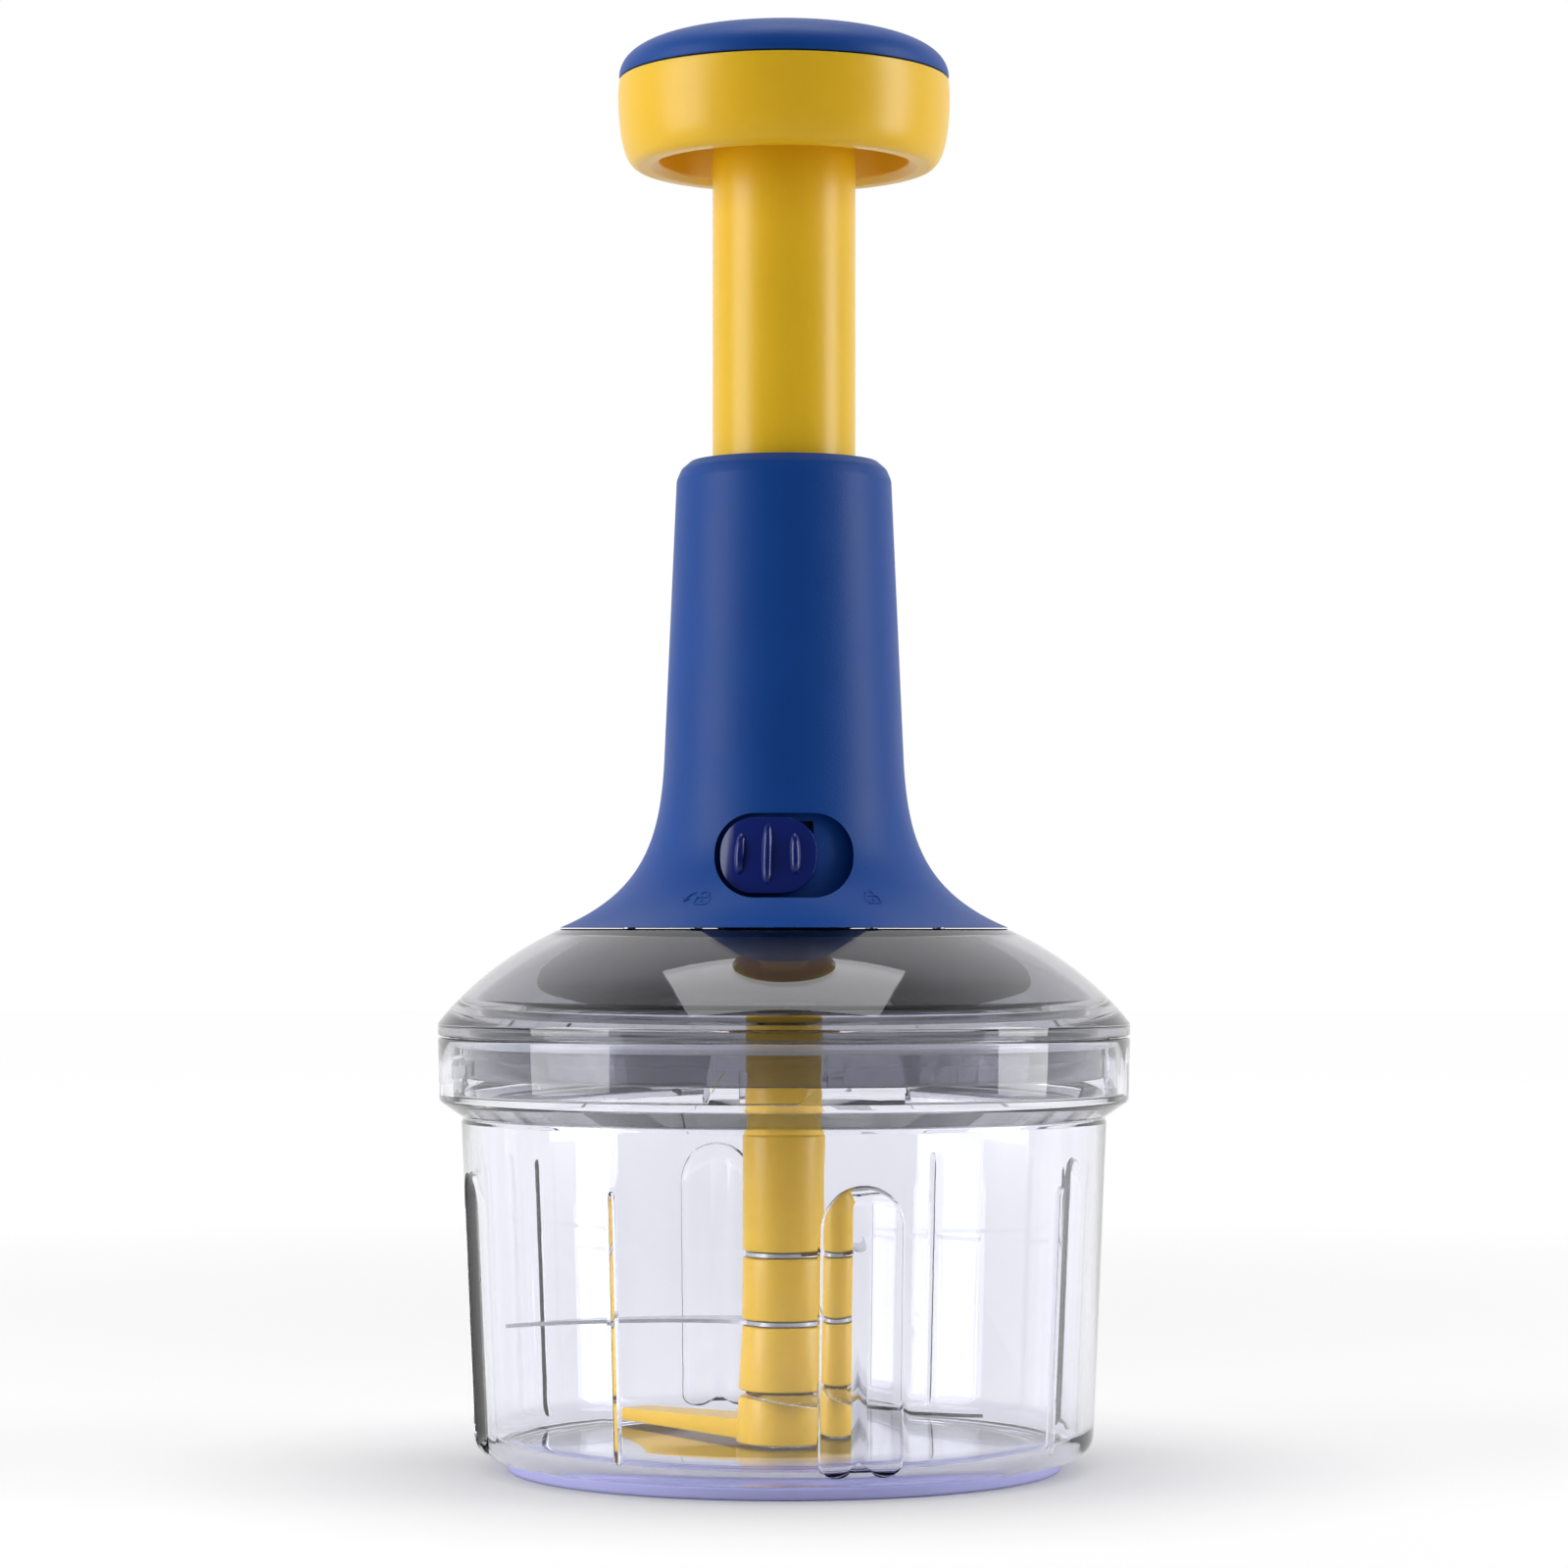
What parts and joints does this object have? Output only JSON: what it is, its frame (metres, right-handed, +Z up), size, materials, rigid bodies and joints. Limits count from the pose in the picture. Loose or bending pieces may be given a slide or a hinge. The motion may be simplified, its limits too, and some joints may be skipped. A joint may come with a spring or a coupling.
{
  "type": "plunger food chopper",
  "caption": "Hand food chopper with a clear bowl, stacked sickle blades, a smoky domed lid, and a sprung push knob that spins the blades through a spiral shaft.",
  "frame": {"origin": "centre of the foot ring's resting face, on the axis that the knob, the lid and the blades share", "axes": "+Z up along that axis, through the knob. -Y is the front, where the lock button is"},
  "size_m": [0.15, 0.15, 0.3114],
  "materials": {
    "clear_plastic": "clear polished",
    "smoky_plastic": "smoky polished",
    "frosted_plastic": "frosted",
    "lilac_rubber": "translucent satin",
    "seal_rubber": "satin",
    "yellow_plastic": "gloss",
    "blue_plastic": "fine matte",
    "navy_plastic": "gloss",
    "cream_plastic": "satin",
    "steel": "ground"
  },
  "bodies": {
    "base": {"bowl": "clear_plastic", "foot_ring": "lilac_rubber", "centre_pin": "steel"},
    "seal": {"lid_seal": "seal_rubber"},
    "lid": {"lid_dome": "smoky_plastic", "splash_plate": "smoky_plastic", "mechanism_cover": "frosted_plastic", "bearing_plate": "cream_plastic", "thrust_washer": "steel", "spring_seat": "steel", "guide_sleeve": "cream_plastic", "housing": "blue_plastic", "sleeve_screw_1": "steel", "sleeve_screw_2": "steel", "sleeve_screw_3": "steel", "housing_screw_1": "steel", "housing_screw_2": "steel", "housing_screw_3": "steel", "return_spring": "steel"},
    "lock": {"lock_carrier": "blue_plastic", "lock_slider": "navy_plastic"},
    "plunger": {"plunger_tube": "yellow_plastic", "drive_nut": "cream_plastic", "nut_pin_left": "steel", "nut_pin_right": "steel", "knob_body": "yellow_plastic", "knob_screw": "steel", "knob_cap": "blue_plastic"},
    "spiral": {"spiral_shaft": "steel", "shaft_guide": "cream_plastic", "guide_screw": "steel", "driver_screw": "steel", "clutch_driver": "cream_plastic", "clutch_pawl_1": "steel", "clutch_pawl_2": "steel", "pawl_pin_1": "steel", "pawl_pin_2": "steel"},
    "hub": {"output_hub": "cream_plastic"},
    "blades": {"paddle_hub": "yellow_plastic", "blade_bottom": "steel", "spacer_lower": "yellow_plastic", "blade_middle": "steel", "spacer_upper": "yellow_plastic", "blade_top": "steel", "spindle_top": "yellow_plastic", "spindle_core": "cream_plastic", "spindle_screw": "steel"}
  },
  "joints": [
    {"name": "lid_lift", "type": "slide", "parent": "base", "child": "seal", "axis": [0, 0, 1], "range_m": [0, 0.12]},
    {"name": "lid_turn", "type": "hinge", "parent": "seal", "child": "lid", "pos_m": [0, 0, 0], "axis": [0, 0, 1], "range_deg": [-13.5, 0]},
    {"name": "plunger_press", "type": "slide", "parent": "lid", "child": "plunger", "axis": [0, 0, -1], "range_m": [0, 0.062], "stiffness_N_per_m": 250, "springref_m": -0.02, "deforming": ["return_spring"]},
    {"name": "lock_slide", "type": "hinge", "parent": "lid", "child": "lock", "pos_m": [0, 0, 0], "axis": [0, 0, 1], "range_deg": [0, 13]},
    {"name": "spiral_spin", "type": "hinge", "parent": "lid", "child": "spiral", "pos_m": [0, 0, 0], "axis": [0, 0, 1], "range_deg": [-560, 0]},
    {"name": "hub_spin", "type": "hinge", "parent": "lid", "child": "hub", "pos_m": [0, 0, 0], "axis": [0, 0, 1], "range_deg": [-560, 0]},
    {"name": "blade_spin", "type": "hinge", "parent": "base", "child": "blades", "pos_m": [0, 0, 0], "axis": [0, 0, 1], "range_deg": [-560, 0]}
  ],
  "couplings": [
    {"joint": "spiral_spin", "follows": "plunger_press", "rad_per_m": -157.08},
    {"joint": "hub_spin", "follows": "plunger_press", "rad_per_m": -157.08},
    {"joint": "blade_spin", "follows": "plunger_press", "rad_per_m": -157.08}
  ]
}
